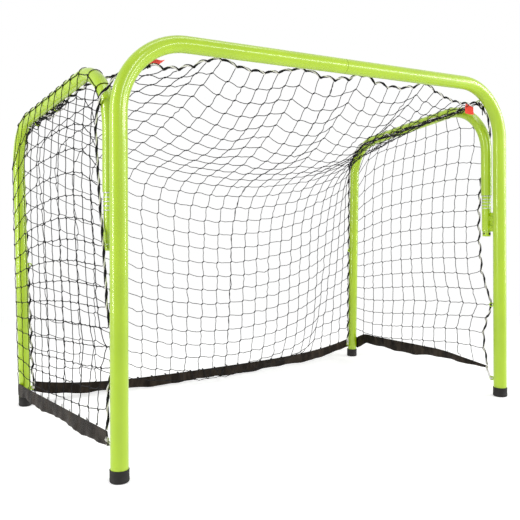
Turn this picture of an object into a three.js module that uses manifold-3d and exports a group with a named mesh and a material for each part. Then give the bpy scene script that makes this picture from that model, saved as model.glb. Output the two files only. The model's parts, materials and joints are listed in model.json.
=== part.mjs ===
// A folding street and floor hockey goal: a bent tube front frame, two side frames that
// hinge behind its posts, and a mesh net with a black hem.
// Millimetres, +Z up, +X along the crossbar. The mouth faces -Y, and the floor is z = 0.

import * as THREE from 'three';
import { mergeVertices } from 'three/addons/utils/BufferGeometryUtils.js';
import Module from 'manifold-3d';

const wasm = await Module();
wasm.setup();

// ---------------------------------------------------------------- driving dimensions

const gap = 0.3;                  // between pieces that touch

const post = { radius: 19, wall: 2, spacing: 1200, barHeight: 919, bend: 157 };
const seamGap = 1.2;              // between the two halves of the front frame
const sleeve = { radius: 16.6, length: 180, wall: 2 };

const wing = {
  radius: 16,
  wall: 2,
  setback: 48,                    // short leg behind the post, centre to centre
  legBottom: 597.5,
  frontHeight: 886.5,             // top bar's line above the short leg
  rearHeight: 793,                // and above the rear leg
  depth: 685,                     // rear leg behind the front frame
  footX: 608.5,
  splay: 18.5,                    // how far the rear leg leans out at its top
  frontBend: 136,
  rearBend: 126,
};

const hinge = {
  tubeRadius: 14,
  boreRadius: 11.4,
  tubeBottom: 490,
  lugHeights: [[498, 510], [531, 543]],
  lugWidth: 12,
  spigotRadius: 11,
  spigotBottom: 474,
  spigotTop: 690,
  rivetHeight: 482,
  rivetRadius: 2.5,
  rivetHead: 4.5,
};

const cap = { wall: 1.2, play: 0.5, height: 27, floor: 4, edge: 3 };

const ring = { radius: 5.4, wire: 1.6 };
const ringOffset = ring.radius + ring.wire;

const rope = { radius: 2.2, sides: 6 };
const twine = 3;                  // strand width and thickness of the nets
const netHemGap = 4;               // from the lowest strand's middle to the hem's top edge
const hem = { height: 30, thickness: 2.4 };

const hookXs = [-355, -115, 85, 315];
const hookTilt = { back: 0.95, down: 0.3 };      // from the crossbar's centreline to a hook
const cornerRing = { x: 527, z: 869, toBend: 0.6, behind: 0.8 };
const postRingTilt = { inward: 0.41, behind: 0.91 };
const ringThread = 14;             // straight run of a cord through a ring, each way
const hemTieTail = 10;
const postRingHeights = { upper: 270, lower: 50 };
const legRingHeights = { upper: 400, lower: 48 };
const barRingDepths = { front: 410, rear: 560 };


const barRope = { end: 490, steps: 6, netEnd: 484, netBehind: 11 };
const cornerTie = { out: 0.787, down: 0.617, thread: 8, clear: 5 };
const ropeUnder = 1.33;            // the wing's rope lies this far under its bar, for 1 inside it
const ropeFirst = 3;               // the curve point behind the hinge where that rope starts

const backNet = {
  across: 12,
  down: 14,
  flare: 1.9,                     // how sharply the sheet rises to the wings at its sides
  footReach: 16,                  // how near the hem the sheet keeps to the middle's line
  middle: [                       // the sheet's fall, then depth and height at its middle
    [0, 35, 884], [0.111, 115, 786], [0.222, 229, 708], [0.333, 363, 662], [0.444, 487, 597],
    [0.5, 517, 540], [0.556, 533, 473], [0.667, 544, 341], [0.778, 555, 208], [0.889, 575, 90],
    [1, 663, 40],
  ],
  scallop: 20,                    // sag of the crossbar rope between two rings
  cornerDrop: 43,
  edgeInset: 34,
  hemTop: 66,
  hemSag: 31,
  hemBow: 20,
};
const sideNet = {
  across: 6,
  down: 9,
  clearance: 4,                   // outside the wing's tube
  frontEdge: { left: 56, right: 100 },
  hemFront: { left: 62, right: 78 },
  pinX: 600,                      // where the free front edge is drawn in to the post's ring
  pinY: 42,
  pinReach: 140,                  // and how far above and below the ring it is drawn
  bendTop: 400,                   // the free edge moves to the hem's front end below this
  bendLength: 300,
  rearOverhang: 4,
  ropeReach: 30,                  // the edge rope runs straight to the ring over this length
};
const sideHem = { frontTop: 90, rearTop: 71 };
const tab = { width: 34, height: 30, thickness: 1.6, x: 508, z: 850, behind: 9 };

// ---------------------------------------------------------------- materials

function material(color, roughness, metalness = 0) {
  return new THREE.MeshStandardMaterial({ color, roughness, metalness });
}

const limePaint = material(0xb9dc32, 0.25);
const blackPlastic = material(0x2b2829, 0.55);
const bareSteel = material(0x8a8d90, 0.35, 0.9);
const blackTwine = material(0x17171a, 0.9);
const blackWebbing = material(0x222226, 0.75);
const edgeRope = material(0xd9d6cc, 0.85);
const whiteCord = material(0xe9e7df, 0.85);
const redFabric = material(0xee3a28, 0.8);

// ---------------------------------------------------------------- helpers

const goal = new THREE.Group();
const vec = (x, y, z) => new THREE.Vector3(x, y, z);
const sideNames = [['left', -1], ['right', 1]];

function add(name, geometry, look) {
  const mesh = new THREE.Mesh(geometry, look);
  mesh.name = name;
  goal.add(mesh);
  return mesh;
}

function toSolid(geometry) {
  const bare = geometry.clone();
  bare.deleteAttribute('normal');
  bare.deleteAttribute('uv');
  const merged = mergeVertices(bare, 1e-4);
  const corners = merged.index.array;
  const kept = [];
  for (let i = 0; i < corners.length; i += 3) {
    const [a, b, c] = corners.slice(i, i + 3);
    if (a !== b && b !== c && c !== a) {
      kept.push(a, b, c);
    }
  }
  return new wasm.Manifold(new wasm.Mesh({
    numProp: 3,
    vertProperties: new Float32Array(merged.attributes.position.array),
    triVerts: new Uint32Array(kept),
  }));
}

function toGeometry(solid) {
  const mesh = solid.getMesh();
  const geometry = new THREE.BufferGeometry();
  geometry.setAttribute('position', new THREE.BufferAttribute(mesh.vertProperties, 3));
  geometry.setIndex(new THREE.BufferAttribute(mesh.triVerts, 1));
  return geometry;
}

/** A curve through fixed stations, so that a sweep has a ring at each of them and nowhere else. */
class StationCurve extends THREE.Curve {
  constructor(points, tangents) {
    super();
    this.points = points;
    this.tangents = tangents ?? points.map((point, i) => {
      const before = points[Math.max(i - 1, 0)];
      const after = points[Math.min(i + 1, points.length - 1)];
      return after.clone().sub(before).normalize();
    });
  }

  static between(list, t) {
    const place = Math.min(Math.max(t, 0), 1) * (list.length - 1);
    const first = Math.min(Math.floor(place), list.length - 2);
    return list[first].clone().lerp(list[first + 1], place - first);
  }

  getPoint(t) {
    return StationCurve.between(this.points, t);
  }

  getPointAt(u) {
    return this.getPoint(u);
  }

  getTangent(t) {
    return StationCurve.between(this.tangents, t).normalize();
  }

  getTangentAt(u) {
    return this.getTangent(u);
  }
}

/** Straight runs between corners, with an arc of the given radius at each inner corner. */
function bentPath(corners, radii, stepsPerBend) {
  const points = [corners[0].clone()];
  const tangents = [corners[1].clone().sub(corners[0]).normalize()];
  for (let i = 1; i < corners.length - 1; i++) {
    const back = corners[i - 1].clone().sub(corners[i]).normalize();
    const ahead = corners[i + 1].clone().sub(corners[i]).normalize();
    const angle = back.angleTo(ahead);
    const centre = back.clone().add(ahead).normalize()
      .multiplyScalar(radii[i - 1] / Math.sin(angle / 2)).add(corners[i]);
    const start = back.clone().multiplyScalar(radii[i - 1] / Math.tan(angle / 2))
      .add(corners[i]).sub(centre);
    const axis = back.clone().cross(ahead).normalize().negate();
    for (let step = 0; step <= stepsPerBend; step++) {
      const turn = (Math.PI - angle) * step / stepsPerBend;
      points.push(start.clone().applyAxisAngle(axis, turn).add(centre));
      tangents.push(back.clone().negate().applyAxisAngle(axis, turn));
    }
  }
  const last = corners.length - 1;
  points.push(corners[last].clone());
  tangents.push(corners[last].clone().sub(corners[last - 1]).normalize());
  return new StationCurve(points, tangents);
}

function circleOutline(radius, sides) {
  return Array.from({ length: sides }, (_, i) => {
    const angle = 2 * Math.PI * (i + 0.5) / sides;
    return new THREE.Vector2(radius * Math.cos(angle), radius * Math.sin(angle));
  });
}

function sweptTube(curve, radius, sides, bore = 0) {
  const shape = new THREE.Shape(circleOutline(radius, sides));
  if (bore > 0) {
    shape.holes.push(new THREE.Path(circleOutline(bore, sides)));
  }
  return new THREE.ExtrudeGeometry(shape, { steps: curve.points.length - 1, extrudePath: curve });
}

function ropeAlong(points) {
  return sweptTube(new StationCurve(points), rope.radius, rope.sides);
}

/** A solid turned about +Z from [radius, height] pairs. */
function turned(profile, sides) {
  const geometry = new THREE.LatheGeometry(profile.map(([r, z]) => new THREE.Vector2(r, z)), sides);
  return geometry.rotateX(Math.PI / 2);
}

/** A closed body between two skins of a grid of points, from quads of vertex keys. */
class SkinBuilder {
  constructor() {
    this.positions = [];
    this.faces = [];
  }

  vertex(point) {
    this.positions.push(point.x, point.y, point.z);
    return this.positions.length / 3 - 1;
  }

  quad(a, b, c, d) {
    this.faces.push(a, b, c, a, c, d);
  }

  geometry() {
    const geometry = new THREE.BufferGeometry();
    geometry.setAttribute('position', new THREE.Float32BufferAttribute(this.positions, 3));
    geometry.setIndex(this.faces);
    return geometry;
  }
}

/** The surface's point, and its two unit tangents and normal, at (u, v). */
function surfaceFrame(surface, u, v) {
  const d = 1e-3;
  const point = surface(u, v);
  const along = surface(Math.min(u + d, 1), v).sub(surface(Math.max(u - d, 0), v)).normalize();
  const down = surface(u, Math.min(v + d, 1)).sub(surface(u, Math.max(v - d, 0))).normalize();
  const normal = along.clone().cross(down).normalize();
  return { point, along, down, normal };
}

/** A flat-knotted net on a surface: square strands crossing at each knot, open between them. */
function netOn(surface, across, down) {
  const skin = new SkinBuilder();
  const half = twine / 2;
  const knots = [];
  for (let i = 0; i <= across; i++) {
    knots.push([]);
    for (let j = 0; j <= down; j++) {
      const frame = surfaceFrame(surface, i / across, j / down);
      const corner = (a, b, n) => skin.vertex(frame.point.clone()
        .addScaledVector(frame.along, a * half)
        .addScaledVector(frame.down, b * half)
        .addScaledVector(frame.normal, n * half));
      knots[i].push([-1, 1].map(n => [
        corner(-1, -1, n), corner(1, -1, n), corner(1, 1, n), corner(-1, 1, n),
      ]));
    }
  }
  const wall = (from, to, a, b) => skin.quad(from[0][a], from[1][a], to[1][b], to[0][b]);
  for (let i = 0; i <= across; i++) {
    for (let j = 0; j <= down; j++) {
      const [low, high] = knots[i][j];
      skin.quad(high[0], high[1], high[2], high[3]);
      skin.quad(low[3], low[2], low[1], low[0]);
      if (i < across) {
        const [nextLow, nextHigh] = knots[i + 1][j];
        skin.quad(high[1], nextHigh[0], nextHigh[3], high[2]);
        skin.quad(low[2], nextLow[3], nextLow[0], low[1]);
        wall(knots[i + 1][j], knots[i][j], 0, 1);
        wall(knots[i][j], knots[i + 1][j], 2, 3);
      }
      if (j < down) {
        const [belowLow, belowHigh] = knots[i][j + 1];
        skin.quad(high[3], high[2], belowHigh[1], belowHigh[0]);
        skin.quad(low[2], low[3], belowLow[0], belowLow[1]);
        wall(knots[i][j + 1], knots[i][j], 1, 2);
        wall(knots[i][j], knots[i][j + 1], 3, 0);
      }
      if (i === 0) {
        wall(knots[i][j], knots[i][j], 0, 3);
      }
      if (i === across) {
        wall(knots[i][j], knots[i][j], 2, 1);
      }
      if (j === 0) {
        wall(knots[i][j], knots[i][j], 1, 0);
      }
      if (j === down) {
        wall(knots[i][j], knots[i][j], 3, 2);
      }
    }
  }
  return skin.geometry();
}

/** A band of the hem's height and thickness, hung below a line of points. */
function bandBelow(points) {
  const skin = new SkinBuilder();
  const rings = points.map((point, i) => {
    const along = points[Math.min(i + 1, points.length - 1)].clone()
      .sub(points[Math.max(i - 1, 0)]).setZ(0).normalize();
    const out = vec(along.y, -along.x, 0).multiplyScalar(hem.thickness / 2);
    return [[-1, 0], [1, 0], [1, -hem.height], [-1, -hem.height]].map(([side, drop]) =>
      skin.vertex(point.clone().addScaledVector(out, side).add(vec(0, 0, drop))));
  });
  for (let i = 0; i < rings.length - 1; i++) {
    for (let k = 0; k < 4; k++) {
      const next = (k + 1) % 4;
      skin.quad(rings[i][k], rings[i][next], rings[i + 1][next], rings[i + 1][k]);
    }
  }
  const last = rings[rings.length - 1];
  skin.quad(rings[0][3], rings[0][2], rings[0][1], rings[0][0]);
  skin.quad(last[0], last[1], last[2], last[3]);
  return skin.geometry();
}

/** A wire ring that stands off a tube: its hole's axis is `axis`, its centre is `centre`. */
function addRing(name, centre, axis) {
  const geometry = new THREE.TorusGeometry(ring.radius, ring.wire, 6, 12);
  const turn = new THREE.Quaternion().setFromUnitVectors(vec(0, 0, 1), axis.clone().normalize());
  const mesh = add(name, geometry, limePaint);
  mesh.quaternion.copy(turn);
  mesh.position.copy(centre);
  return mesh;
}

// ---------------------------------------------------------------- front frame

const postX = post.spacing / 2;

function frontHalf(side) {
  const path = bentPath([
    vec(side * postX, 0, cap.floor + gap),
    vec(side * postX, 0, post.barHeight),
    vec(side * seamGap / 2, 0, post.barHeight),
  ], [post.bend], 10);
  return sweptTube(path, post.radius, 20, post.radius - post.wall);
}

function addFrontFrame() {
  for (const [label, side] of sideNames) {
    add(`front_frame_${label}`, frontHalf(side), limePaint);
  }
  const bore = sleeve.radius - sleeve.wall;
  const joint = turned([
    [bore, -sleeve.length / 2], [sleeve.radius, -sleeve.length / 2],
    [sleeve.radius, sleeve.length / 2], [bore, sleeve.length / 2],
    [bore, -sleeve.length / 2],
  ], 20);
  const inner = add('crossbar_sleeve', joint, bareSteel);
  inner.rotation.y = Math.PI / 2;
  inner.position.z = post.barHeight;
}

const capLean = wing.splay / wing.rearHeight;

/** A cup round the foot of a tube, wide enough inside for a tube that leans by `lean`. */
function footCap(tubeRadius, lean = 0) {
  const inside = tubeRadius + cap.play + lean * cap.height;
  const outside = inside + cap.wall;
  return turned([
    [0, 0], [outside - cap.edge, 0], [outside - cap.edge / 3, cap.edge / 3],
    [outside, cap.edge], [outside, cap.height], [inside, cap.height],
    [inside, cap.floor], [0, cap.floor],
  ], 20);
}

const behindBar = vec(0, hookTilt.back, -hookTilt.down).normalize()
  .multiplyScalar(post.radius + gap + ringOffset);

function addFrontRings() {
  hookXs.forEach((x, i) => {
    addRing(`crossbar_hook_${i + 1}`, vec(x, 0, post.barHeight).add(behindBar), vec(1, 0, 0));
  });
  for (const [label, side] of sideNames) {
    const bendCentre = vec(side * (postX - post.bend), 0, post.barHeight - post.bend);
    const out = vec(side * cornerRing.x, 0, cornerRing.z).sub(bendCentre).normalize();
    const place = bendCentre.clone()
      .addScaledVector(out, post.bend - (post.radius + gap + ringOffset) * cornerRing.toBend)
      .add(vec(0, (post.radius + gap + ringOffset) * cornerRing.behind, 0));
    addRing(`corner_eyelet_${label}`, place, out.clone().cross(vec(0, 1, 0)));
    const behind = vec(-side * postRingTilt.inward, postRingTilt.behind, 0).normalize()
      .multiplyScalar(post.radius + gap + ringOffset);
    for (const [level, height] of Object.entries(postRingHeights)) {
      const centre = vec(side * postX, 0, height).add(behind);
      addRing(`post_eyelet_${level}_${label}`, centre, vec(0, 0, 1));
    }
  }
}

// ---------------------------------------------------------------- hinge

function hingeBracket(side) {
  const tube = toSolid(turned([
    [hinge.boreRadius, hinge.tubeBottom], [hinge.tubeRadius, hinge.tubeBottom],
    [hinge.tubeRadius, wing.legBottom - gap], [hinge.boreRadius, wing.legBottom - gap],
    [hinge.boreRadius, hinge.tubeBottom],
  ], 20).translate(side * postX, wing.setback, 0));
  const postWall = toSolid(new THREE.CylinderGeometry(
    post.radius + gap, post.radius + gap, post.barHeight / 2, 40,
  ).rotateX(Math.PI / 2).translate(side * postX, 0, hinge.tubeBottom));
  const lugLength = wing.setback - hinge.boreRadius - 1;
  let bracket = tube;
  for (const [low, high] of hinge.lugHeights) {
    const lug = toSolid(new THREE.BoxGeometry(hinge.lugWidth, lugLength, high - low)
      .translate(side * postX, lugLength / 2, (low + high) / 2));
    bracket = bracket.add(lug.subtract(postWall).subtract(boreOf(side)));
  }
  return toGeometry(bracket);
}

function boreOf(side) {
  return toSolid(new THREE.CylinderGeometry(
    hinge.boreRadius, hinge.boreRadius, wing.legBottom, 20,
  ).rotateX(Math.PI / 2).translate(side * postX, wing.setback, hinge.tubeBottom));
}

function rivetHole(side) {
  return new THREE.CylinderGeometry(
    hinge.rivetRadius + gap, hinge.rivetRadius + gap, wing.setback, 12,
  ).translate(side * postX, wing.setback, hinge.rivetHeight);
}

function hingeSpigot(side) {
  const inLeg = wing.radius - wing.wall - gap;
  const body = toSolid(turned([
    [0, hinge.spigotBottom], [hinge.spigotRadius, hinge.spigotBottom],
    [hinge.spigotRadius, wing.legBottom], [inLeg, wing.legBottom],
    [inLeg, hinge.spigotTop], [0, hinge.spigotTop],
  ], 20).translate(side * postX, wing.setback, 0));
  return toGeometry(body.subtract(toSolid(rivetHole(side))));
}

function hingeRivet() {
  const reach = hinge.spigotRadius + gap;
  return turned([
    [0, -reach - 2], [hinge.rivetHead, -reach - 1], [hinge.rivetHead, -reach],
    [hinge.rivetRadius, -reach], [hinge.rivetRadius, reach], [hinge.rivetHead, reach],
    [hinge.rivetHead, reach + 1], [0, reach + 2],
  ], 12);
}

function addHinges() {
  for (const [label, side] of sideNames) {
    add(`hinge_bracket_${label}`, hingeBracket(side), limePaint);
    add(`hinge_spigot_${label}`, hingeSpigot(side), bareSteel);
    const rivet = add(`hinge_rivet_${label}`, hingeRivet(), blackPlastic);
    rivet.rotation.x = Math.PI / 2;
    rivet.position.set(side * postX, wing.setback, hinge.rivetHeight);
  }
}

// ---------------------------------------------------------------- side frames

function wingCurve(side, bendSteps = 8) {
  return bentPath([
    vec(side * postX, wing.setback, wing.legBottom),
    vec(side * postX, wing.setback, wing.frontHeight),
    vec(side * (wing.footX + wing.splay), wing.depth, wing.rearHeight),
    vec(side * wing.footX, wing.depth, cap.floor + 3 * gap),
  ], [wing.frontBend, wing.rearBend], bendSteps);
}

/** The wing's points moved off its centreline, inward and, along the top bar, downward. */
function insideWing(side, offset) {
  const curve = wingCurve(side, 4);
  return curve.points.map((point, i) => {
    const tangent = curve.tangents[i];
    const under = Math.max(tangent.y, 0);
    const direction = vec(-side, 0, -ropeUnder * under).normalize();
    return point.clone().addScaledVector(direction, offset);
  });
}

/** The point at a given depth (y) on the top bar, or at a given height on the rear leg. */
function onPolyline(points, key, value) {
  for (let i = points.length - 2; i >= 0; i--) {
    const a = points[i][key];
    const b = points[i + 1][key];
    if ((a - value) * (b - value) <= 0 && a !== b) {
      return points[i].clone().lerp(points[i + 1], (value - a) / (b - a));
    }
  }
  return points[0].clone();
}

const ropeOffset = wing.radius + gap + ringOffset;

function addWingRings(label, side) {
  const line = insideWing(side, ropeOffset);
  const slope = vec(0, wing.depth - wing.setback, wing.rearHeight - wing.frontHeight);
  for (const [place, depth] of Object.entries(barRingDepths)) {
    addRing(`top_bar_eyelet_${place}_${label}`, onPolyline(line, 'y', depth), slope);
  }
  const rearLeg = line.slice(-2);
  for (const [level, height] of Object.entries(legRingHeights)) {
    addRing(`leg_eyelet_${level}_${label}`, onPolyline(rearLeg, 'z', height), vec(0, 0, 1));
  }
}

function addWings() {
  for (const [label, side] of sideNames) {
    const tube = sweptTube(wingCurve(side), wing.radius, 16, wing.radius - wing.wall);
    add(`side_frame_${label}`, tube, limePaint);
    addWingRings(label, side);
  }
}

function addFootCaps() {
  for (const [label, side] of sideNames) {
    const front = add(`front_foot_cap_${label}`, footCap(post.radius), blackPlastic);
    front.position.x = side * postX;
    const rear = add(`rear_foot_cap_${label}`, footCap(wing.radius, capLean), blackPlastic);
    rear.position.set(side * wing.footX, wing.depth, 0);
  }
}

// ---------------------------------------------------------------- roof and back net

const barRing = vec(0, 0, post.barHeight).add(behindBar);
const ropeEnds = [-barRope.end, ...hookXs, barRope.end].map(x => {
  const z = Math.abs(x) === barRope.end ? barRing.z - backNet.cornerDrop : barRing.z;
  return vec(x, barRing.y, z);
});

/** The edge rope's height at x: it sags between the rings. */
function barRopeHeight(x) {
  const i = Math.min(Math.max(ropeEnds.findIndex(end => end.x > x), 1), ropeEnds.length - 1);
  const along = (x - ropeEnds[i - 1].x) / (ropeEnds[i].x - ropeEnds[i - 1].x);
  const t = THREE.MathUtils.clamp(along, 0, 1);
  const taut = ropeEnds[i - 1].z + (ropeEnds[i].z - ropeEnds[i - 1].z) * t;
  return taut - backNet.scallop * 4 * t * (1 - t);
}

function crossbarRopePoints() {
  const stepsPerSpan = barRope.steps;
  const points = [];
  for (let i = 0; i < ropeEnds.length - 1; i++) {
    for (let step = 0; step < stepsPerSpan; step++) {
      const x = ropeEnds[i].x + (ropeEnds[i + 1].x - ropeEnds[i].x) * step / stepsPerSpan;
      points.push(vec(x, barRing.y, barRopeHeight(x)));
    }
  }
  points.push(ropeEnds[ropeEnds.length - 1]);
  return points;
}

/** The point at a fraction of a polyline's length. */
function alongPolyline(points, fraction) {
  const lengths = points.slice(1).map((point, i) => point.distanceTo(points[i]));
  let left = fraction * lengths.reduce((sum, length) => sum + length, 0);
  for (let i = 0; i < lengths.length; i++) {
    if (left <= lengths[i] || i === lengths.length - 1) {
      return points[i].clone().lerp(points[i + 1], Math.min(left / lengths[i], 1));
    }
    left -= lengths[i];
  }
  return points[points.length - 1].clone();
}

/** The top line of the back hem at u from 0 to 1: it sags and bows forward between the legs. */
function backHemTop(u) {
  const q = 2 * u - 1;
  return vec(
    q * (wing.footX - backNet.edgeInset),
    wing.depth - backNet.hemBow * (1 - q * q),
    backNet.hemTop - backNet.hemSag * (1 - q ** 4),
  );
}

const insideLine = insideWing(1, backNet.edgeInset);
const netFoot = backHemTop(1).add(vec(0, 0, netHemGap));
const sideProfile = [
  vec(barRope.netEnd, barRing.y + barRope.netBehind, barRopeHeight(barRope.netEnd) - twine),
  ...insideLine.slice(5, -1),
  netFoot,
];

/** A value's place in a table of [where, value] rows, along straight lines between the rows. */
function fromTable(rows, where) {
  const next = Math.min(Math.max(rows.findIndex(row => row[0] >= where), 1), rows.length - 1);
  const [a, b] = [rows[next - 1], rows[next]];
  const t = (where - a[0]) / (b[0] - a[0]);
  return a.slice(1).map((value, k) => value + (b[k + 1] - value) * t);
}

/**
 * The sheet hangs in a deep roof behind the crossbar, folds at the rear corners' height and
 * drops to the back hem. Its sides follow the wings.
 */
function backNetSurface(u, v) {
  const q = 2 * u - 1;
  const edge = alongPolyline(sideProfile, v);
  const hang = backHemTop(u).add(vec(0, 0, netHemGap));
  const [deep, high] = fromTable(backNet.middle, v);
  const atFoot = v ** backNet.footReach;
  const middle = vec(0, deep, high).lerp(hang, atFoot);
  const pull = Math.abs(q) ** backNet.flare;
  const x = q * edge.x;
  const y = THREE.MathUtils.lerp(middle.y, edge.y, pull);
  const z = THREE.MathUtils.lerp(middle.z, edge.z, pull);
  const atBar = (1 - v) ** 8 * (1 - pull);
  return vec(x, y, THREE.MathUtils.lerp(z, barRopeHeight(x) - twine, atBar));
}

function cornerTiePoints(label, side) {
  const eye = goal.getObjectByName(`corner_eyelet_${label}`).position;
  const through = vec(side * cornerTie.out, 0, -cornerTie.down).multiplyScalar(cornerTie.thread);
  const start = ropeEnds[side < 0 ? 0 : ropeEnds.length - 1].clone().add(vec(side * 2, 0, 0.5));
  const ropeStart = insideWing(side, ropeOffset)[ropeFirst];
  const after = eye.clone().add(through);
  const end = ropeStart.clone().add(after.clone().sub(ropeStart).setLength(cornerTie.clear));
  return [start, eye.clone().sub(through), eye.clone(), after, end];
}

function addBackNet() {
  add('back_net', netOn(backNetSurface, backNet.across, backNet.down), blackTwine);
  const hemLine = Array.from({ length: 13 }, (_, i) => backHemTop(i / 12));
  add('back_hem', bandBelow(hemLine), blackWebbing);
  add('crossbar_rope', ropeAlong(crossbarRopePoints()), edgeRope);
  for (const [label, side] of sideNames) {
    add(`corner_tie_${label}`, ropeAlong(cornerTiePoints(label, side)), edgeRope);
    const cloth = new THREE.BoxGeometry(tab.width, tab.thickness, tab.height);
    const mesh = add(`corner_tab_${label}`, cloth, redFabric);
    mesh.position.set(side * tab.x, barRing.y + tab.behind, tab.z);
  }
}

// ---------------------------------------------------------------- side nets

/** Where the wing's centre plane is, across, at a depth and a height. */
function planeX(y, z) {
  const back = (y - wing.setback) / (wing.depth - wing.setback);
  return postX + back * (wing.footX - postX + wing.splay * z / wing.rearHeight);
}

const outside = wing.radius + sideNet.clearance;

function sideEdges(label, side) {
  const centreline = wingCurve(side, 8).points;
  const frontTop = sideNet.frontEdge[label];
  const frontFoot = sideNet.hemFront[label];
  const pinned = z =>
    Math.max(0, 1 - Math.abs(z - postRingHeights.upper) / sideNet.pinReach) ** 1.5;
  const frontY = z => {
    const low = THREE.MathUtils.clamp((sideNet.bendTop - z) / sideNet.bendLength, 0, 1);
    const free = THREE.MathUtils.lerp(frontTop, frontFoot, low);
    return THREE.MathUtils.lerp(free, sideNet.pinY, pinned(z));
  };
  const frontX = z => THREE.MathUtils.lerp(planeX(frontTop, z) + outside, sideNet.pinX, pinned(z));
  const topZ = y => onPolyline(centreline, 'y', Math.min(y, wing.depth - 1)).z;
  return { frontTop, frontFoot, frontX, frontY, topZ };
}

function sideNetSurface(label, side) {
  const { frontTop, frontX, frontY, topZ } = sideEdges(label, side);
  return (u, v) => {
    const rear = wing.depth + sideNet.rearOverhang;
    const top = topZ(THREE.MathUtils.lerp(frontTop, rear, u));
    const foot = THREE.MathUtils.lerp(sideHem.frontTop, sideHem.rearTop, u) + netHemGap;
    const z = THREE.MathUtils.lerp(top, foot, v);
    const y = THREE.MathUtils.lerp(frontY(z), rear, u);
    const drawn = planeX(frontTop, z) + outside - frontX(z);
    return vec(side * (planeX(y, z) + outside - drawn * (1 - u) ** 3), y, z);
  };
}

function sideHemPoints(label, side) {
  const rear = wing.depth + sideNet.rearOverhang;
  return Array.from({ length: 7 }, (_, i) => {
    const y = THREE.MathUtils.lerp(sideNet.hemFront[label], rear, i / 6);
    const z = THREE.MathUtils.lerp(sideHem.frontTop, sideHem.rearTop, i / 6);
    return vec(side * (planeX(y, z) + outside), y, z);
  });
}

/** The front edge rope follows the net's first column of knots and threads the post's ring. */
function frontEdgeRopePoints(label, side) {
  const surface = sideNetSurface(label, side);
  const before = rope.radius + twine + 1;
  const eye = goal.getObjectByName(`post_eyelet_upper_${label}`).position;
  const edge = Array.from({ length: sideNet.down + 1 }, (_, j) =>
    surface(0, j / sideNet.down).add(vec(0, -before, 0)));
  const reach = sideNet.ropeReach;
  return [
    ...edge.filter(point => point.z > eye.z + reach),
    eye.clone().add(vec(0, 0, ringThread)), eye.clone().add(vec(0, 0, -ringThread)),
    ...edge.filter(point => point.z < eye.z - reach),
  ];
}

function hemTiePoints(label, side) {
  const eye = goal.getObjectByName(`post_eyelet_lower_${label}`).position;
  const middle = sideHem.frontTop - hem.height / 2;
  const start = vec(side * (planeX(0, middle) + outside - 3), sideNet.hemFront[label] - 6, middle);
  return [
    start, eye.clone().add(vec(0, 0, ringThread)), eye.clone().add(vec(0, 0, -hemTieTail)),
  ];
}

function sideRopePoints(side) {
  const line = insideWing(side, ropeOffset);
  const foot = onPolyline(line.slice(-2), 'z', sideHem.rearTop - hem.height);
  return [...line.slice(ropeFirst, -1), foot];
}

function addSideNets() {
  for (const [label, side] of sideNames) {
    const mirrored = sideNetSurface(label, side);
    const surface = side > 0 ? mirrored : (u, v) => mirrored(1 - u, v);
    add(`side_net_${label}`, netOn(surface, sideNet.across, sideNet.down), blackTwine);
    add(`side_hem_${label}`, bandBelow(sideHemPoints(label, side)), blackWebbing);
    add(`side_rope_${label}`, ropeAlong(sideRopePoints(side)), edgeRope);
    add(`front_edge_rope_${label}`, ropeAlong(frontEdgeRopePoints(label, side)), edgeRope);
    add(`hem_tie_${label}`, ropeAlong(hemTiePoints(label, side)), whiteCord);
  }
}

// ---------------------------------------------------------------- the goal

// The origin is on the floor under the middle of the goal's depth.
const capReach = tubeRadius => tubeRadius + cap.play + cap.wall;
const rearReach = capReach(wing.radius) + capLean * cap.height;
goal.position.y = (capReach(post.radius) - wing.depth - rearReach) / 2;

addFrontFrame();
addFrontRings();
addHinges();
addWings();
addFootCaps();
addBackNet();
addSideNets();

export default goal;
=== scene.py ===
import json
import math
import bpy
import numpy as np
from mathutils import Matrix, Vector

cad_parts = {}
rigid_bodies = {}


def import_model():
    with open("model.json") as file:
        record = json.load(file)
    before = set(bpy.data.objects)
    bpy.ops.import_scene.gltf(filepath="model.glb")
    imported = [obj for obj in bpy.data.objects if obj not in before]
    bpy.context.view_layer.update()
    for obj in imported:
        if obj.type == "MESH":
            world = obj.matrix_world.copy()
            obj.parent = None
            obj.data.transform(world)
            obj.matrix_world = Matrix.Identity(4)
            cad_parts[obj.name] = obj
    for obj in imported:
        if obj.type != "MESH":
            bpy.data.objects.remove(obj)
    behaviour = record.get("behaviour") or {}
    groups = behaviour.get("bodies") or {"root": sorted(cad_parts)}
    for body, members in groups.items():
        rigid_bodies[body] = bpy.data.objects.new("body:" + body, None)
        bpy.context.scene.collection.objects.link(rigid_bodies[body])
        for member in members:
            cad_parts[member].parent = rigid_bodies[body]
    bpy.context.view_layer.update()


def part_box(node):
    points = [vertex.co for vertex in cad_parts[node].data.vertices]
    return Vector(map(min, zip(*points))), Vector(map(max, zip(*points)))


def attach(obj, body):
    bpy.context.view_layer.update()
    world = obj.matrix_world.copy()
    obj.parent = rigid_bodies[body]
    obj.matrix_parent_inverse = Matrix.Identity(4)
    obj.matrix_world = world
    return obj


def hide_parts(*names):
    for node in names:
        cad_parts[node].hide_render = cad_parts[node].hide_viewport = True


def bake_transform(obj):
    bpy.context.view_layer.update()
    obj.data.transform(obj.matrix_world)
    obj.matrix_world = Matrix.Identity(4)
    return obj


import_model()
sides = {"left": -1, "right": 1}


def middleOf(node):
    return [(low + high) / 2 for low, high in zip(*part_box(node))]


frontY = middleOf("front_frame_left")[1]      # depth of the posts' centreline
print("frame loaded, posts at", round(frontY, 4))


# camera, at the photograph's viewpoint
cameraView = {
    "place": (-1.15768, -1.72840, 0.56456),
    "yaw": 33.124, "roll": -0.169,      # degrees
    "focal": 711.97, "horizon": 207.11, "width": 520,      # pixels
    "sensor": 36,
}


def newObject(name, data):
    made = bpy.data.objects.new(name, data)
    bpy.context.scene.collection.objects.link(made)
    return made


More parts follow.
